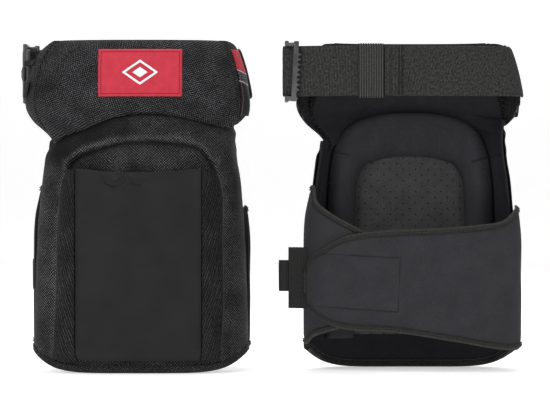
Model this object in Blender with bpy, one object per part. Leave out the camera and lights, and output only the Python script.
"""A mirrored pair of strap-on work knee pads, standing upright side by side.

Each pad is a curved woven shell with a pocket for a kneeling insert on its front, a foam arch and a
perforated knee rest on its inside, a padded thigh panel whose wings carry an elastic strap with a
hook clip, and two neoprene calf flaps that close over each other at the back.

One pad is laid out in millimetres in its own frame: X across the knee, the front of the knee towards
-Y, the leg along Z, the lowest point of the hem at Z = 0. The left pad shows its front to -Y. The right
pad is its mirror image in Y, so that it shows its back to -Y.
"""
import bpy
import bmesh
from math import asin, cos, degrees, hypot, pi, radians, sin
from mathutils import Vector

MM = 0.001

# ---------------------------------------------------------------- driving dimensions, millimetres
PAD_HEIGHT = 330.0            # hem to the top edge of the thigh panel
LEFT_PAD_X = -130.3           # centre line of each pad
RIGHT_PAD_X = 141.7
SHELL_DEPTH = 52.0            # side seam to the front of the shell
CALF_DEPTH = 54.0             # side seam to the back of the calf flaps
STRAP_DEPTH = 37.0            # side seam to the back of the thigh strap
FRONT_POWER = 2.6             # squareness of the front curve, 2 is an ellipse
CALF_POWER = 3.0
STRAP_POWER = 4.0
STRAP_CORNER_POWER = 6.0      # on the clip side, where the keeper slides along the strap

WEAVE = 2.4                   # woven cover with its backing
LINING = 3.0                  # neoprene lining
FLAP = 3.2                    # neoprene flap
BINDING_WIDTH = 6.0           # tape round the free edges of the flaps
GAP = 0.5                     # air between layers that touch
LINING_INSIDE = -WEAVE - GAP - LINING
HEM_HEIGHT = 9.0
HEM_CORNER_RISE = 20.0        # how far the hem climbs at the side seams
PANEL_PADDING = 11.0          # thigh panel
WING_THICKNESS = 3.5
PANEL_HALF_ANGLE = 60.0       # the panel's ends, where its wings are sewn on
BUCKLE_WING_END = -89.5
STRAP_WING_END = 96.0
LABEL_HALF_WIDTH = 42.5
LABEL_Z = (276.0, 324.5)
SIDE_LABEL_ANGLES = (66.0, 82.0)
SIDE_LABEL_Z = (259.0, 318.0)

INSERT_THICKNESS = 9.0
INSERT_HALF_WIDTH = 57.0
INSERT_BOTTOM = 27.0
INSERT_TOP = 192.0
POCKET_STANDOFF = INSERT_THICKNESS + 2 * GAP
WEAR_THICKNESS = 1.6
WEAR_HALF_WIDTH = 64.0
WEAR_TOP = 198.0
GUSSET_HALF_WIDTH = 83.0

KNEE_REST_PLANE = -36.0       # flat face against the knee
KNEE_REST_HALF_WIDTH = 52.0
KNEE_REST_BOTTOM = 34.0
KNEE_REST_TOP = 212.0
BOLSTER_THICKNESS = 17.0

STRAP_THICKNESS = 1.8
STRAP_WING_ANGLES = (90.5, 92, 96, 103, 113, 126, 142, 160)   # starts at its hinge, behind the label
STRAP_BOTTOM = 274.0
STRAP_TOP = 324.0
TAIL_LIFT = 2.6               # the strap's returned tail lies this far outside its main run
BAR_Y = 25.0
STRAP_HALF_LOOP = 3.4         # radius of the strap's centre line round the clip's loop bar
KEEPER_X = (-55.0, -30.5)
HEM_X = (-29.5, -12.5)
CLIP_BOTTOM = 268.5
CLIP_TOP = 329.0
CLIP_BAR = 4.0
ANCHOR_RADIUS = 2.2
WEBBING = 1.4
KNUCKLE_Z = (291.0, 305.0)

HINGE_Y = 2.0                 # calf flaps turn about vertical axes at the side seams
HINGE_X = 110.0
TAB_Z = (63.0, 124.0)
PULL_LOOP_Z = (80.0, 111.0)

# Per pad: the way it faces, its centre, its clip's loop bar, and how far the long flap is wrapped round.
PADS = {
    "left": {"facing": 1, "x": LEFT_PAD_X, "bar_x": -118.5, "flap_end": 226.0},
    "right": {"facing": -1, "x": RIGHT_PAD_X, "bar_x": -126.0, "flap_end": 254.0},
}

# Outlines: (position, value) pairs joined by a smooth curve, millimetres.
SHELL_HALF_WIDTH = [(0, 108), (26, 108), (71, 106.5), (141, 104), (191, 99.5), (216, 96), (234, 95), (262, 98)]
THIGH_HALF_LEFT = [(216, 95), (234, 97), (250, 111), (266, 117), (285, 114.5), (305, 110), (316, 105), (330, 95)]
THIGH_HALF_RIGHT = [(216, 95), (236, 98), (252, 106), (272, 109), (292, 106), (308, 102), (320, 98), (330, 93)]
CALF_HALF_WIDTH = [(0, 105.5), (131, 105.5), (156, 104), (181, 99), (205, 97)]
SHELL_FRONT = [(0, 50), (30, 52), (202, 52), (230, 50), (250, 45), (262, 43)]
THIGH_FRONT = [(216, 46), (250, 44), (262, 46), (285, 50.5), (308, 47), (330, 40)]
CREASE = [(-94, 222), (-74, 236), (-50, 245), (-26, 255), (0, 259), (28, 258), (70, 249), (98, 243)]
LONG_FLAP_TOP = [(-108, 98), (-102, 113), (-87, 126), (-68, 136), (-30, 141), (20, 143), (67, 147), (88, 151),
                 (104, 164), (110, 172)]
LONG_FLAP_BOTTOM = [(-108, 82), (-102, 62), (-87, 49), (-65, 43), (-22, 41), (37, 32), (90, 22.5), (110, 24)]
SHORT_FLAP_TOP = [(-104, 186), (-100, 172), (-86, 160), (-67, 149), (-45, 138), (-20, 128)]
BOLSTER_CENTRE = [(-77, 30), (-77, 170), (-73, 205), (-60, 228), (-36, 238), (0, 241), (36, 238), (60, 228),
                  (73, 205), (77, 170), (77, 30)]

MATERIALS = {
    "woven": ((0.020, 0.020, 0.022), 0.62, 0.0),
    "wear": ((0.026, 0.026, 0.027), 0.48, 0.0),
    "neoprene": ((0.034, 0.034, 0.039), 0.85, 0.0),
    "foam": ((0.030, 0.030, 0.032), 0.90, 0.0),
    "rest": ((0.045, 0.045, 0.046), 0.92, 0.0),
    "binding": ((0.038, 0.038, 0.034), 0.80, 0.0),
    "elastic": ((0.045, 0.045, 0.042), 0.80, 0.0),
    "plastic": ((0.075, 0.075, 0.080), 0.38, 0.0),
    "red_label": ((0.62, 0.035, 0.065), 0.60, 0.0),
    "print": ((0.40, 0.03, 0.04), 0.60, 0.0),
}


# ---------------------------------------------------------------- curves and surfaces
def smooth(pairs, at):
    """Value of the smooth curve through the pairs, held level past its ends."""
    if at <= pairs[0][0]:
        return pairs[0][1]
    if at >= pairs[-1][0]:
        return pairs[-1][1]
    i = next(k for k in range(len(pairs) - 1) if at <= pairs[k + 1][0])
    (x0, y0), (x1, y1) = pairs[i], pairs[i + 1]

    def slope(k):
        low, high = max(k - 1, 0), min(k + 1, len(pairs) - 1)
        return (pairs[high][1] - pairs[low][1]) / (pairs[high][0] - pairs[low][0])

    h = x1 - x0
    t = (at - x0) / h
    return (y0 * (1 + 2 * t) * (1 - t) ** 2 + y1 * t * t * (3 - 2 * t)
            + h * slope(i) * t * (1 - t) ** 2 - h * slope(i + 1) * t * t * (1 - t))


def step_smooth(low, high, at):
    t = min(max((at - low) / (high - low), 0.0), 1.0)
    return t * t * (3 - 2 * t)


def loop_xy(angle, half_width, front, back, back_power):
    """Plan point of a rounded loop: angle 0 is the front of the knee, 90 the +X side, 180 the back."""
    s, c = sin(radians(angle)), cos(radians(angle))
    power = FRONT_POWER if c >= 0 else back_power
    depth = -front if c >= 0 else back
    x = half_width * abs(s) ** (2 / power) * (1 if s >= 0 else -1)
    return x, depth * abs(c) ** (2 / power)


def offset_loop(curve, angle, z, offset):
    """Point of a plan curve moved outwards by the offset, square to the curve."""
    x, y = curve(angle, z)
    x0, y0 = curve(angle - 0.05, z)
    x1, y1 = curve(angle + 0.05, z)
    length = hypot(x1 - x0, y1 - y0)
    return x + (y1 - y0) / length * offset, y - (x1 - x0) / length * offset, z


def shell_curve(angle, z):
    return loop_xy(angle, smooth(SHELL_HALF_WIDTH, z), smooth(SHELL_FRONT, z), CALF_DEPTH, CALF_POWER)


def pocket_curve(angle, z):
    """The same section at every height, so that the insert can slide straight up."""
    return loop_xy(angle, 107.0, SHELL_DEPTH, CALF_DEPTH, CALF_POWER)


def thigh_curve(angle, z):
    table = THIGH_HALF_RIGHT if sin(radians(angle)) >= 0 else THIGH_HALF_LEFT
    return loop_xy(angle, smooth(table, z), smooth(THIGH_FRONT, z), STRAP_DEPTH, STRAP_POWER)


def calf_curve(angle, z):
    return loop_xy(angle, smooth(CALF_HALF_WIDTH, z), SHELL_DEPTH, CALF_DEPTH, CALF_POWER)


def shell(angle, z, offset):
    return offset_loop(shell_curve, angle, z, offset)


def thigh(angle, z, offset):
    return offset_loop(thigh_curve, angle, z, offset)


def calf(angle, z, offset):
    return offset_loop(calf_curve, angle, z, offset)


def pocket(angle, z, offset):
    return offset_loop(pocket_curve, angle, z, offset)


def angle_at(x, half_width, power=FRONT_POWER):
    """Loop angle of the front point at x."""
    t = min(abs(x) / half_width, 1.0) ** (power / 2)
    return degrees(asin(t)) * (1 if x >= 0 else -1)


def edge_z(curve, table, angle, start=240.0):
    """Height at which the surface's line at this angle crosses an edge given as height over x."""
    z = start
    for _ in range(12):
        z = 0.5 * (z + smooth(table, curve(angle, z)[0]))
    return z


def hem_bottom(x):
    return HEM_CORNER_RISE * (min(abs(x), 108.0) / 108.0) ** 6


def spread(low, high, count):
    return [low + (high - low) * i / (count - 1) for i in range(count)]


# ---------------------------------------------------------------- meshes
def slab_mesh(outer, inner):
    """One closed body between two grids of points with the same rows and columns."""
    rows, columns = len(outer), len(outer[0])
    bm = bmesh.new()
    front = [[bm.verts.new(p) for p in row] for row in outer]
    back = [[bm.verts.new(p) for p in row] for row in inner]
    for i in range(rows - 1):
        for j in range(columns - 1):
            bm.faces.new((front[i][j], front[i + 1][j], front[i + 1][j + 1], front[i][j + 1]))
            bm.faces.new((back[i][j], back[i][j + 1], back[i + 1][j + 1], back[i + 1][j]))
    rim = [(i, 0) for i in range(rows)] + [(rows - 1, j) for j in range(1, columns)]
    rim += [(i, columns - 1) for i in range(rows - 2, -1, -1)] + [(0, j) for j in range(columns - 2, 0, -1)]
    for (i, j), (k, m) in zip(rim, rim[1:] + rim[:1]):
        bm.faces.new((front[i][j], front[k][m], back[k][m], back[i][j]))
    return bm


def sheet(surface, angles, z_range, offsets, rows):
    """Slab that follows a surface between two offsets; z_range gives its ends at each angle."""
    grids = []
    for offset in offsets:
        grid = []
        for angle in angles:
            low, high = z_range(angle)
            levels = spread(low, high, rows)
            grid.append([surface(angle, z, offset(angle, z) if callable(offset) else offset) for z in levels])
        grids.append(grid)
    return slab_mesh(grids[1], grids[0])


def box_mesh(low, high):
    bm = bmesh.new()
    bmesh.ops.create_cube(bm, size=1.0)
    for vert in bm.verts:
        vert.co = Vector([low[k] if vert.co[k] < 0 else high[k] for k in range(3)])
    return bm


def rod_mesh(centre, radius, z_range, sides=12):
    bm = bmesh.new()
    rings = []
    for z in z_range:
        rings.append([bm.verts.new((centre[0] + radius * cos(2 * pi * k / sides),
                                    centre[1] + radius * sin(2 * pi * k / sides), z)) for k in range(sides)])
    for k in range(sides):
        m = (k + 1) % sides
        bm.faces.new((rings[0][k], rings[0][m], rings[1][m], rings[1][k]))
    bm.faces.new(rings[0][::-1])
    bm.faces.new(rings[1])
    return bm


def ribbon(path_at, thickness, z_range, rows=2):
    """Ribbon on edge: path_at gives the plan points of its centre line at a height."""
    left, right = [], []
    for z in spread(z_range[0], z_range[1], rows):
        path = path_at(z)
        left.append([])
        right.append([])
        for i, (x, y) in enumerate(path):
            x0, y0 = path[max(i - 1, 0)]
            x1, y1 = path[min(i + 1, len(path) - 1)]
            length = hypot(x1 - x0, y1 - y0)
            nx, ny = (y1 - y0) / length * thickness / 2, -(x1 - x0) / length * thickness / 2
            left[-1].append((x + nx, y + ny, z))
            right[-1].append((x - nx, y - ny, z))
    return slab_mesh(left, right)


# ---------------------------------------------------------------- objects
def material(name):
    made = bpy.data.materials.get(name)
    if made is None:
        color, roughness, metallic = MATERIALS[name]
        made = bpy.data.materials.new(name)
        made.use_nodes = True
        shader = made.node_tree.nodes["Principled BSDF"]
        shader.inputs["Base Color"].default_value = (*color, 1.0)
        shader.inputs["Roughness"].default_value = roughness
        shader.inputs["Metallic"].default_value = metallic
    return made


class Pad:
    """Places pieces that are laid out in the pad's own millimetre frame."""

    def __init__(self, side):
        self.side = side
        self.dims = PADS[side]
        self.axes = {}

    def world(self, point):
        x, y, z = point
        return Vector(((self.dims["x"] + x) * MM, self.dims["facing"] * y * MM, z * MM))

    def axis(self, name, point, parent=None):
        """An empty on the axis of a moving body."""
        empty = bpy.data.objects.new(f"{self.side}_{name}_axis", None)
        bpy.context.scene.collection.objects.link(empty)
        empty.location = self.world(point)
        if parent:
            empty.parent = self.axes[parent][0]
            empty.location = self.world(point) - self.axes[parent][1]
        self.axes[name] = (empty, self.world(point))

    def add(self, name, bm, material_name, body):
        empty, at = self.axes[body]
        for vert in bm.verts:
            vert.co = self.world(vert.co) - at
        bmesh.ops.recalc_face_normals(bm, faces=bm.faces)
        if bm.calc_volume(signed=True) < 0:
            bmesh.ops.reverse_faces(bm, faces=bm.faces)
        mesh = bpy.data.meshes.new(f"{self.side}_{name}")
        bm.to_mesh(mesh)
        bm.free()
        mesh.materials.append(material(material_name))
        mesh.shade_smooth()
        mesh.set_sharp_from_angle(angle=radians(40))
        made = bpy.data.objects.new(f"{self.side}_{name}", mesh)
        bpy.context.scene.collection.objects.link(made)
        made.parent = empty
        return made

    def add_union(self, name, meshes, material_name, body):
        """One body from overlapping bodies, joined by Boolean modifiers."""
        made = self.add(name, meshes[0], material_name, body)
        for i, bm in enumerate(meshes[1:]):
            tool = self.add(f"{name}_tool_{i}", bm, material_name, body)
            tool.hide_render = True
            tool.display_type = "WIRE"
            boolean = made.modifiers.new(f"join_{i}", "BOOLEAN")
            boolean.operation = "UNION"
            boolean.solver = "EXACT"
            boolean.object = tool
        return made


# ---------------------------------------------------------------- shell and pocket
SHELL_ANGLES = spread(-89.5, 89.5, 21)


def shell_low(angle):
    return hem_bottom(shell_curve(angle, 30)[0]) + HEM_HEIGHT + 0.3


def shell_span(angle):
    return shell_low(angle), edge_z(shell_curve, CREASE, angle) - GAP


def add_shell(pad):
    pad.add("outer_cover", sheet(shell, SHELL_ANGLES, shell_span, (-WEAVE, 0.0), 8), "woven", "pad")
    pad.add("inner_lining", sheet(shell, SHELL_ANGLES, shell_span, (LINING_INSIDE, -WEAVE - GAP), 8),
            "neoprene", "pad")
    pad.add("hem_binding", sheet(shell, SHELL_ANGLES,
                                 lambda a: (hem_bottom(shell_curve(a, 30)[0]), shell_low(a) - 0.3),
                                 (LINING_INSIDE - 0.8, 0.8), 2), "binding", "pad")


def standoff(z):
    """The pocket's front swells from the hem to the full thickness of the insert."""
    return 1.6 + (POCKET_STANDOFF - 1.6) * step_smooth(10, INSERT_BOTTOM - 2, z)


def pocket_sheet(half_widths, z_range, thickness, columns=9, rows=7):
    grids = []
    for skin in (0.0, thickness):
        grid = []
        for t in spread(half_widths[0], half_widths[1], columns):
            angle = angle_at(t, 107.0)
            grid.append([pocket(angle, z, standoff(z) + skin) for z in z_range(t)])
        grids.append(grid)
    return slab_mesh(grids[1], grids[0])


def pocket_levels(x, top):
    low = hem_bottom(x) + HEM_HEIGHT + 0.5
    return [low, low + 5, low + 10, low + 17, 90, 150, top]


def add_pocket(pad):
    pad.add("wear_panel", pocket_sheet((-WEAR_HALF_WIDTH, WEAR_HALF_WIDTH),
                                       lambda x: pocket_levels(x, WEAR_TOP + 4 * (x / WEAR_HALF_WIDTH) ** 2),
                                       WEAR_THICKNESS), "wear", "pad")
    for where, sign in (("buckle_side", -1), ("strap_side", 1)):
        outer, inner = [], []
        for share in spread(0.0, 1.0, 4):
            x = sign * (WEAR_HALF_WIDTH + 0.6 + share * (GUSSET_HALF_WIDTH - WEAR_HALF_WIDTH - 0.6))
            angle = angle_at(x, 107.0)
            lift = cos(share * pi / 2) ** 0.7
            levels = pocket_levels(x, WEAR_TOP + 4 - 3 * share)
            outer.append([pocket(angle, z, standoff(z) * lift + WEAR_THICKNESS + GAP) for z in levels])
            inner.append([pocket(angle, z, standoff(z) * lift + GAP) for z in levels])
        pad.add(f"pocket_gusset_{where}", slab_mesh(outer, inner), "woven", "pad")
    levels = [INSERT_BOTTOM, 60, 110, 150, INSERT_TOP]
    angles = [angle_at(x, 107.0) for x in spread(-INSERT_HALF_WIDTH, INSERT_HALF_WIDTH, 9)]
    grids = [[[pocket(a, z, offset) for z in levels] for a in angles]
             for offset in (GAP + INSERT_THICKNESS, GAP)]
    pad.add("kneeling_insert", slab_mesh(*grids), "foam", "insert")


# ---------------------------------------------------------------- thigh panel and wings
PANEL_ANGLES = spread(-PANEL_HALF_ANGLE, PANEL_HALF_ANGLE, 15)


def panel_inside(angle, z):
    """The thigh panel thins down to the shell's own thickness where it is sewn to the shell."""
    return LINING_INSIDE - (PANEL_PADDING + LINING_INSIDE) * step_smooth(258, 276, z)


def add_thigh_panel(pad):
    def span(angle):
        return edge_z(thigh_curve, CREASE, angle) + GAP, PAD_HEIGHT

    def lining_span(angle):
        return max(span(angle)[0], 268.0), PAD_HEIGHT

    pad.add("thigh_panel", sheet(thigh, PANEL_ANGLES, span, (panel_inside, 0.0), 7), "woven", "pad")
    pad.add("thigh_lining", sheet(thigh, PANEL_ANGLES, lining_span,
                                  (lambda a, z: panel_inside(a, z) - 1.0 - LINING,
                                   lambda a, z: panel_inside(a, z) - 1.0), 5), "neoprene", "pad")
    patch_angles = [angle_at(x, 112.0) for x in spread(-LABEL_HALF_WIDTH, LABEL_HALF_WIDTH, 9)]
    pad.add("label_patch", sheet(thigh, patch_angles, lambda a: LABEL_Z, (0.5, 1.2), 7),
            "red_label", "pad")
    pad.add("side_label", sheet(thigh, spread(*SIDE_LABEL_ANGLES, 5), lambda a: SIDE_LABEL_Z, (0.8, 1.4), 7),
            "print", "pad")


def add_wings(pad):
    def buckle_side(angle):
        share = step_smooth(-62, -90, angle)
        return edge_z(thigh_curve, CREASE, -PANEL_HALF_ANGLE) + 1 + 38 * share, PAD_HEIGHT - 16 * share

    def strap_side(angle):
        share = step_smooth(62, 97, angle)
        return edge_z(thigh_curve, CREASE, PANEL_HALF_ANGLE) + 1 + 20 * share, PAD_HEIGHT - 4 * share

    seam = PANEL_HALF_ANGLE + 1.5
    skins = (-WING_THICKNESS, 0.0)
    pad.add("buckle_wing", sheet(thigh, spread(BUCKLE_WING_END, -seam, 8), buckle_side, skins, 7), "woven", "pad")
    pad.add("strap_wing", sheet(thigh, spread(seam, STRAP_WING_END, 9), strap_side, skins, 7), "woven", "pad")


# ---------------------------------------------------------------- knee rest and bolster
def add_knee_side(pad):
    inner = LINING_INSIDE - 1.2
    levels = spread(KNEE_REST_BOTTOM, KNEE_REST_TOP, 5)
    columns = spread(-KNEE_REST_HALF_WIDTH, KNEE_REST_HALF_WIDTH, 9)

    def top(x, z):
        """The rest's upper corners are rounded under the arch."""
        return z - 24 * (abs(x) / KNEE_REST_HALF_WIDTH) ** 4 * step_smooth(KNEE_REST_BOTTOM, KNEE_REST_TOP, z)

    front = [[shell(angle_at(x, 104.0), top(x, z), inner) for z in levels] for x in columns]
    face = [[(x * 0.96, KNEE_REST_PLANE, top(x, z)) for z in levels] for x in columns]
    pad.add("knee_rest", slab_mesh(front, face), "rest", "pad")

    along = [BOLSTER_CENTRE[0]]
    for (x0, z0), (x1, z1) in zip(BOLSTER_CENTRE, BOLSTER_CENTRE[1:]):
        steps = max(1, round(hypot(x1 - x0, z1 - z0) / 45))
        along += [(x0 + (x1 - x0) * k / steps, z0 + (z1 - z0) * k / steps) for k in range(1, steps + 1)]
    front, back = [], []
    for i, (x, z) in enumerate(along):
        x0, z0 = along[max(i - 1, 0)]
        x1, z1 = along[min(i + 1, len(along) - 1)]
        length = hypot(x1 - x0, z1 - z0)
        nx, nz = -(z1 - z0) / length, (x1 - x0) / length
        half = 13.0 + 6.0 * step_smooth(190, 240, z)
        row_front, row_back = [], []
        for share, depth in ((-1, 0.35), (-0.6, 0.9), (0, 1.0), (0.6, 0.9), (1, 0.35)):
            px, pz = x + nx * half * share, z + nz * half * share
            angle = angle_at(px, smooth(SHELL_HALF_WIDTH, pz))
            lift = inner - 1.5 * step_smooth(215, 235, pz)
            row_front.append(shell(angle, pz, lift))
            row_back.append(shell(angle, pz, lift - BOLSTER_THICKNESS * depth))
        front.append(row_front)
        back.append(row_back)
    pad.add("bolster", slab_mesh(front, back), "foam", "pad")


# ---------------------------------------------------------------- calf flaps
BACK_ANGLES = [91, 95, 100, 107, 116, 126, 136, 146, 154, 166, 180, 194, 206, 214, 224, 234, 244, 253]


def angle_before(curve, angle, distance):
    """The loop angle that lies a distance back along the curve."""
    x, y = curve(angle, 90.0)
    while distance > 0:
        angle -= 0.05
        x1, y1 = curve(angle, 90.0)
        distance -= hypot(x1 - x, y1 - y)
        x, y = x1, y1
    return angle


def add_long_flap(pad):
    end = pad.dims["flap_end"]
    inner_end = angle_before(calf_curve, end, BINDING_WIDTH)
    end_x = abs(calf_curve(end, 90)[0])

    def lift(angle, z=0.0):
        """Lies on the calf line at its root and over the short flap at its free end."""
        return 0.4 + 5.0 * step_smooth(110, 180, angle)

    def span(angle):
        x = calf_curve(angle, 90)[0]
        x = x if x > 0 else x * 108.0 / end_x
        return smooth(LONG_FLAP_BOTTOM, x), smooth(LONG_FLAP_TOP, x)

    body_end = angle_before(calf_curve, inner_end, 0.6)
    angles = [a for a in BACK_ANGLES if a < body_end - 2]

    def body_span(angle):
        inset = BINDING_WIDTH + (2.5 if angle == body_end else 0.6)
        return span(angle)[0] + inset, span(angle)[1] - inset

    pad.add("long_flap", sheet(calf, angles + [body_end], body_span,
                               (lift, lambda a, z: lift(a) + FLAP), 6), "neoprene", "long_flap")
    edge = [((a, span(a)[0]), (a, span(a)[0] + BINDING_WIDTH)) for a in angles]
    low, high = span(end)
    inner_low, inner_high = span(inner_end)
    inner_low, inner_high = inner_low + BINDING_WIDTH, inner_high - BINDING_WIDTH
    edge += [((end, low + (high - low) * t), (inner_end, inner_low + (inner_high - inner_low) * t))
             for t in (0.0, 0.5, 1.0)]
    edge += [((a, span(a)[1]), (a, span(a)[1] - BINDING_WIDTH)) for a in reversed(angles)]
    skins = [[[calf(a, z, lift(a) + depth) for a, z in pair] for pair in edge] for depth in (FLAP + 0.4, 0.0)]
    pad.add("long_flap_binding", slab_mesh(*skins), "binding", "long_flap")

    patch = [a for a in angles if a > 190]
    pad.add("hook_patch", sheet(calf, patch, lambda a: (64.0, 115.0),
                                (lambda a, z: lift(a) - 1.2, lambda a, z: lift(a) - 0.4), 3),
            "binding", "long_flap")
    add_closure_tab(pad, end, lift)


def add_closure_tab(pad, end, lift):
    """Webbing tab on the free end, with a fabric loop to pull it by."""
    tip = calf(end, 94, lift(end) + FLAP / 2)
    before = calf(end - 4, 94, lift(end - 4) + FLAP / 2)
    length = hypot(tip[0] - before[0], tip[1] - before[1])
    dx, dy = (tip[0] - before[0]) / length, (tip[1] - before[1]) / length
    dx, dy = dx - 0.9, dy * 0.6
    length = hypot(dx, dy)
    dx, dy = dx / length, dy / length

    def out(distance, aside=0.0):
        return tip[0] + dx * distance - dy * aside, tip[1] + dy * distance + dx * aside

    pad.add("closure_tab", ribbon(lambda z: [out(2.0), out(7), out(14)], 2.4, TAB_Z), "binding", "long_flap")
    pad.axis("pull_loop", (*out(16.0), sum(PULL_LOOP_Z) / 2), "long_flap")
    loop = [out(16.0), out(19.0, 3.0), out(23.0, 3.2), out(26.0, 0.0), out(23.0, -3.2), out(19.0, -3.0)]
    outer, inner = [], []
    centre = out(21.0)
    for x, y in loop + loop[:1]:
        length = hypot(x - centre[0], y - centre[1])
        ux, uy = (x - centre[0]) / length * 0.7, (y - centre[1]) / length * 0.7
        outer.append((x + ux, y + uy))
        inner.append((x - ux, y - uy))
    pad.add("pull_loop", closed_band(outer[:-1], inner[:-1], PULL_LOOP_Z), "binding", "pull_loop")


def closed_band(outer, inner, z_range):
    """Upright band between two closed plan outlines with the same number of points."""
    bm = bmesh.new()
    rings = [[bm.verts.new((x, y, z)) for x, y in line] for line in (outer, inner) for z in z_range]
    out_low, out_high, in_low, in_high = rings
    for k in range(len(outer)):
        m = (k + 1) % len(outer)
        bm.faces.new((out_low[k], out_low[m], out_high[m], out_high[k]))
        bm.faces.new((in_low[m], in_low[k], in_high[k], in_high[m]))
        bm.faces.new((out_high[k], out_high[m], in_high[m], in_high[k]))
        bm.faces.new((out_low[m], out_low[k], in_low[k], in_low[m]))
    return bm


def add_short_flap(pad):
    angles = [-a for a in BACK_ANGLES if a < 155]

    def top(angle):
        return smooth(SHORT_FLAP_TOP, calf_curve(angle, 120)[0])

    skins = (0.4, 0.4 + FLAP)
    pad.add("short_flap", sheet(calf, angles, lambda a: (24.0, top(a) - BINDING_WIDTH - 0.6), skins, 7),
            "neoprene", "short_flap")
    pad.add("short_flap_binding", sheet(calf, angles, lambda a: (top(a) - BINDING_WIDTH, top(a)), skins, 2),
            "binding", "short_flap")


# ---------------------------------------------------------------- strap, keeper and clip
def strap_line(pad, x):
    """Depth of the strap's inner face on the clip side; it runs nearly straight under the keeper."""
    half = abs(pad.dims["bar_x"] + 34.0) / 0.923
    return STRAP_DEPTH * (1 - min(abs(x) / half, 1.0) ** STRAP_CORNER_POWER) ** (1 / STRAP_CORNER_POWER)


def add_strap(pad):
    bar = (pad.dims["bar_x"], BAR_Y)

    def curve(angle, z):
        return loop_xy(angle, smooth(THIGH_HALF_RIGHT, z), 50.0, STRAP_DEPTH, STRAP_POWER)

    main = [(x, strap_line(pad, x) + 1.4) for x in (0, -25, -50, -70, bar[0] + 42)]
    main += [(bar[0] + dx, bar[1] + dy) for dx, dy in ((30, 6.6), (20, 3.2), (11, -1.0), (4, -3.2))]
    turn = [(bar[0] + STRAP_HALF_LOOP * cos(radians(a)), bar[1] + STRAP_HALF_LOOP * sin(radians(a)))
            for a in (265, 225, 180, 135, 95)]
    tail = [(bar[0] + dx, bar[1] + dy) for dx, dy in ((5, 4.2), (12, 5.6), (20, 7.6), (30, 9.6))]
    tail += [(x, strap_line(pad, x) + 1.4 + TAIL_LIFT) for x in (bar[0] + 42, -70, -50, KEEPER_X[1] + 0.4)]

    def path_at(z):
        wing_side = [offset_loop(curve, a, z, 1.6)[:2] for a in STRAP_WING_ANGLES]
        return wing_side + main + turn + tail

    pad.add("top_strap", ribbon(path_at, STRAP_THICKNESS, (STRAP_BOTTOM, STRAP_TOP), 5), "elastic", "strap")
    outer_y = tail[-1][1]
    pad.add("strap_hem", box_mesh((HEM_X[0], outer_y - 0.9, STRAP_BOTTOM), (HEM_X[1], outer_y + 1.9, STRAP_TOP)),
            "elastic", "strap")
    return bar, outer_y


def add_keeper(pad, outer_y):
    low_y, high_y = outer_y - 5.2, outer_y + 1.4
    wall = 1.2
    low, high = STRAP_BOTTOM - 0.8, STRAP_TOP + 0.8
    bm = bmesh.new()
    rings = []
    for x in KEEPER_X:
        for grow in (wall, 0.0):
            rings.append([bm.verts.new(p) for p in ((x, low_y - grow, low - grow), (x, high_y + grow, low - grow),
                                                    (x, high_y + grow, high + grow),
                                                    (x, low_y - grow, high + grow))])
    a_out, a_in, b_out, b_in = rings
    for k in range(4):
        m = (k + 1) % 4
        bm.faces.new((a_out[k], a_out[m], b_out[m], b_out[k]))
        bm.faces.new((a_in[m], a_in[k], b_in[k], b_in[m]))
        bm.faces.new((a_out[m], a_out[k], a_in[k], a_in[m]))
        bm.faces.new((b_out[k], b_out[m], b_in[m], b_in[k]))
    pad.axis("keeper", (sum(KEEPER_X) / 2, outer_y, STRAP_BOTTOM), "strap")
    pad.add("strap_keeper", bm, "binding", "keeper")


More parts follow.
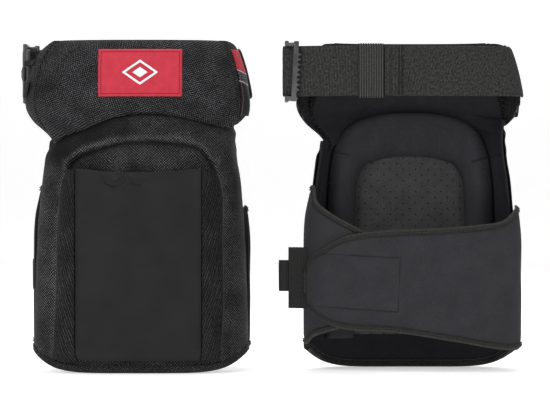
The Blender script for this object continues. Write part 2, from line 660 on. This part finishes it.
def add_clip(pad, bar):
    """Two-bar clip: the strap turns round the loop bar, the tongue hooks over the anchor bar."""
    x, y = bar
    half = CLIP_BAR / 2
    front = y - 17.0
    cover_bar = (x + 6.0, x + 11.0, y + 8.2, y + 10.8)
    pieces = [
        box_mesh((x - half + 0.3, y - half + 0.3, CLIP_BOTTOM), (x + half - 0.3, y + half - 0.3, CLIP_TOP)),
        box_mesh((x - half, front, CLIP_BOTTOM), (x + half, cover_bar[3], CLIP_BOTTOM + CLIP_BAR)),
        box_mesh((x - half, front, CLIP_TOP - CLIP_BAR), (x + half, cover_bar[3], CLIP_TOP)),
        box_mesh((x - half + 0.4, cover_bar[2], CLIP_BOTTOM + 0.4),
                 (cover_bar[1] - 0.4, cover_bar[3] - 0.4, CLIP_BOTTOM + CLIP_BAR - 0.4)),
        box_mesh((x - half + 0.4, cover_bar[2], CLIP_TOP - CLIP_BAR + 0.4),
                 (cover_bar[1] - 0.4, cover_bar[3] - 0.4, CLIP_TOP - 0.4)),
        box_mesh((cover_bar[0], cover_bar[2] - 0.2, CLIP_BOTTOM + 0.2),
                 (cover_bar[1], cover_bar[3] + 0.2, CLIP_TOP - 0.2)),
        box_mesh((x - half, front - 0.2, CLIP_BOTTOM + 0.2), (x + half, front + 3.6, CLIP_TOP - 0.2)),
        box_mesh((x - half - 0.5, front - 8.0, KNUCKLE_Z[0]), (x + half - 1.2, front + 2.0, KNUCKLE_Z[1])),
    ]
    pad.add_union("strap_clip", pieces, "plastic", "strap")
    anchor = (x + half + 1.6, front - 4.0)
    pad.add("anchor_bar", rod_mesh(anchor, ANCHOR_RADIUS, (CLIP_BOTTOM + 2, CLIP_TOP - 6)), "plastic", "pad")
    return anchor


def add_anchor_webbing(pad, anchor):
    """Webbing sewn on the wing; its two loops, above and below the tongue, hold the anchor bar."""
    low, high = CLIP_BOTTOM + 5, CLIP_TOP - 17

    def strip(z_range, angles, turns):
        skins = []
        for depth in (WEBBING, 0.0):
            rows = [[thigh(a, z, 1.0 + depth) for z in spread(z_range[0], z_range[1], 3)] for a in angles]
            radius = ANCHOR_RADIUS + 0.6 + depth
            rows += [[(anchor[0] + radius * cos(radians(t)), anchor[1] + radius * sin(radians(t)), z)
                      for z in spread(z_range[0], z_range[1], 3)] for t in turns]
            skins.append(rows)
        return slab_mesh(*skins)

    turns = (240, 200, 160, 120, 80, 40, 0)
    pieces = [strip((low, high), (-72, -78, -84), ())]
    pieces += [strip(span, (-79, -83, -88), turns)
               for span in ((low + 0.5, KNUCKLE_Z[0] - 1.5), (KNUCKLE_Z[1] + 1.5, high - 0.5))]
    pad.add_union("anchor_webbing", pieces, "binding", "pad")


# ---------------------------------------------------------------- assembly
def build_pad(side):
    pad = Pad(side)
    pad.axis("pad", (0.0, 0.0, 0.0))
    pad.axis("insert", (0.0, -SHELL_DEPTH, INSERT_BOTTOM), "pad")
    pad.axis("long_flap", (HINGE_X, HINGE_Y, 100.0), "pad")
    pad.axis("short_flap", (-HINGE_X, HINGE_Y, 100.0), "pad")
    pad.axis("strap", (113.5, 0.0, 299.0), "pad")
    add_shell(pad)
    add_pocket(pad)
    add_thigh_panel(pad)
    add_wings(pad)
    add_knee_side(pad)
    add_long_flap(pad)
    add_short_flap(pad)
    bar, outer_y = add_strap(pad)
    add_keeper(pad, outer_y)
    anchor = add_clip(pad, bar)
    add_anchor_webbing(pad, anchor)


for old in list(bpy.data.objects):
    bpy.data.objects.remove(old, do_unlink=True)
for pad_side in PADS:
    build_pad(pad_side)
